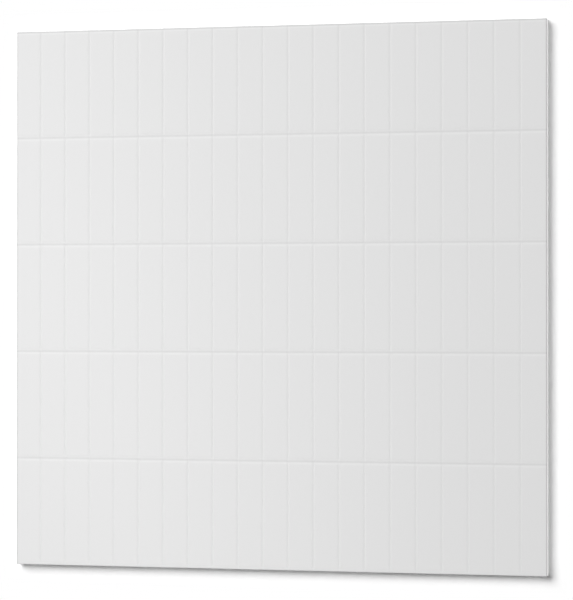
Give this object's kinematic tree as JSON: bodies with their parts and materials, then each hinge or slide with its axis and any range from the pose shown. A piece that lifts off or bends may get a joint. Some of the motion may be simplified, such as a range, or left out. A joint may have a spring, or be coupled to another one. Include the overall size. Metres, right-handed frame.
{
  "type": "vinyl tile",
  "caption": "Square rigid vinyl wall tile, embossed with upright stacked fingers, shallow joints between them and a half joint round the rim.",
  "frame": {"origin": "centre of the flat back face", "axes": "+Z out of the embossed face, +X across the fingers, +Y along the fingers, which is up when the tile is on a wall"},
  "size_m": [0.3048, 0.3048, 0.005],
  "materials": {
    "tile": "satin white embossed vinyl"
  },
  "bodies": {
    "root": {"vinyl_tile": "tile"}
  },
  "joints": []
}
